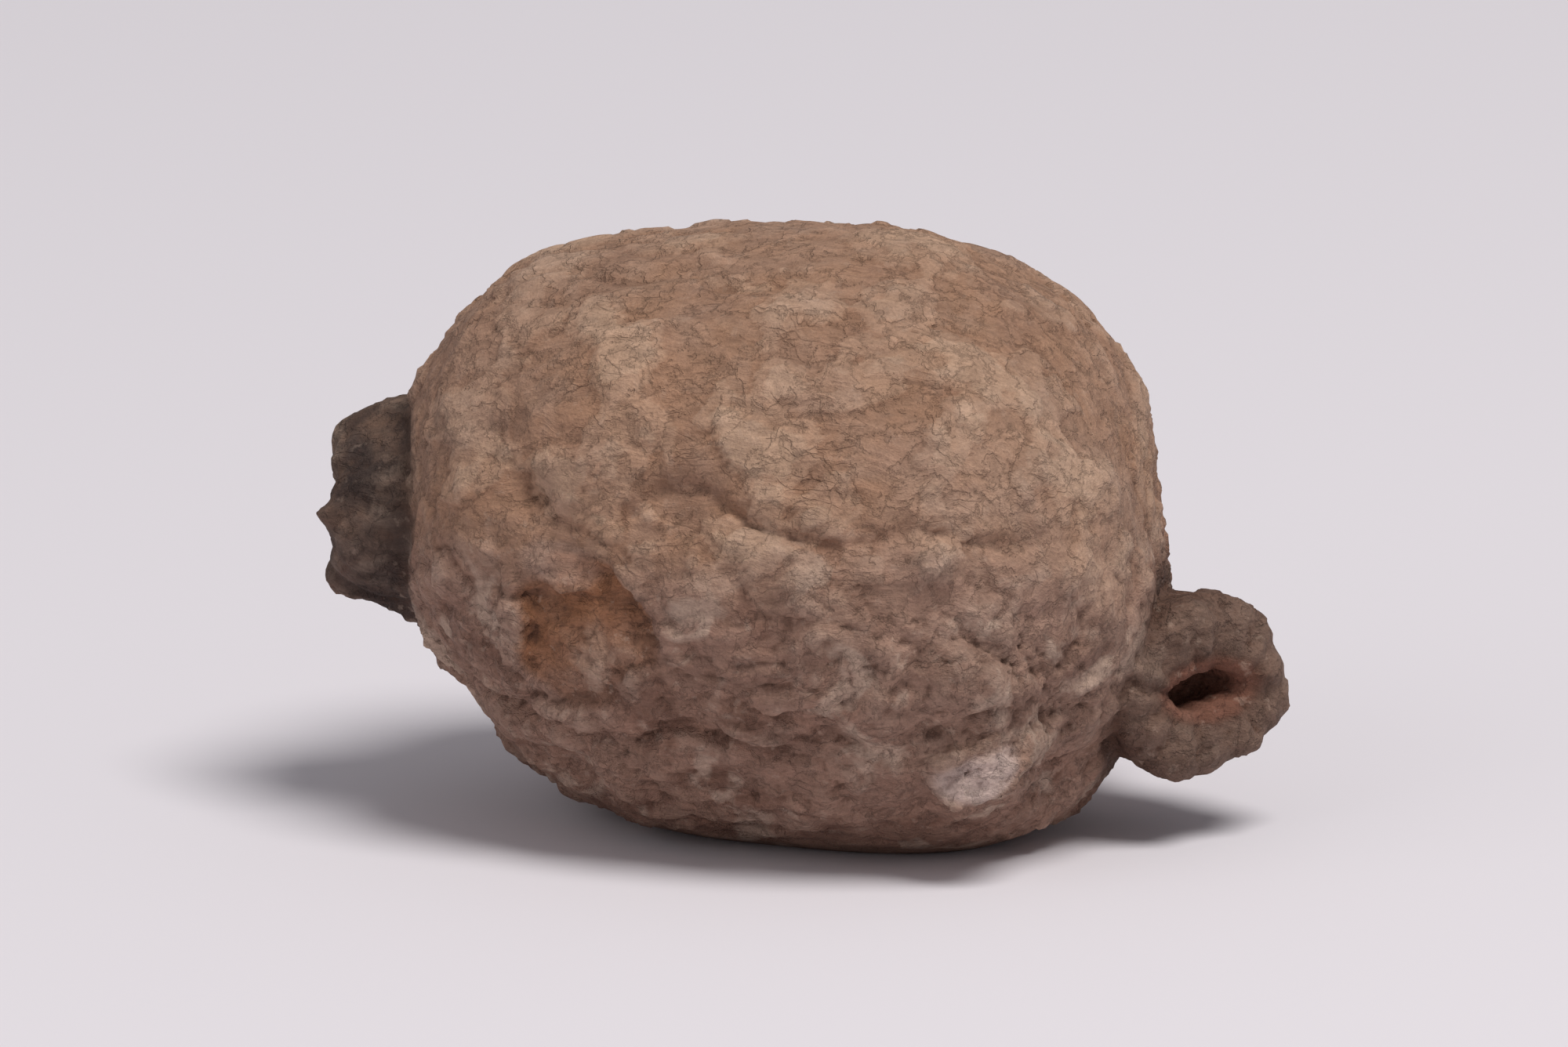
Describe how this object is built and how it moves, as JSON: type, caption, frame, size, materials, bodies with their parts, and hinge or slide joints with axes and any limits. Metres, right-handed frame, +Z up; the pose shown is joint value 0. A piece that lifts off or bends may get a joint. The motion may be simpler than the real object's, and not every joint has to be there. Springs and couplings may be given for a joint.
{
  "type": "dried jamun seed",
  "caption": "Oval dried jamun seed with a wrinkled coat, a cup-shaped calyx at one end and a ragged skin collar at the other, lying on its side.",
  "frame": {"origin": "on the surface that the seed rests on, under the middle of the seed's box", "axes": "+X along the seed from the stalk end to the calyx end, +Z up, -Y towards the side that the picture shows"},
  "size_m": [0.0178, 0.0116, 0.0113],
  "materials": {
    "seed_coat": "matt, dusty, wrinkled dried skin"
  },
  "bodies": {
    "root": {"seed": "seed_coat"}
  },
  "joints": []
}
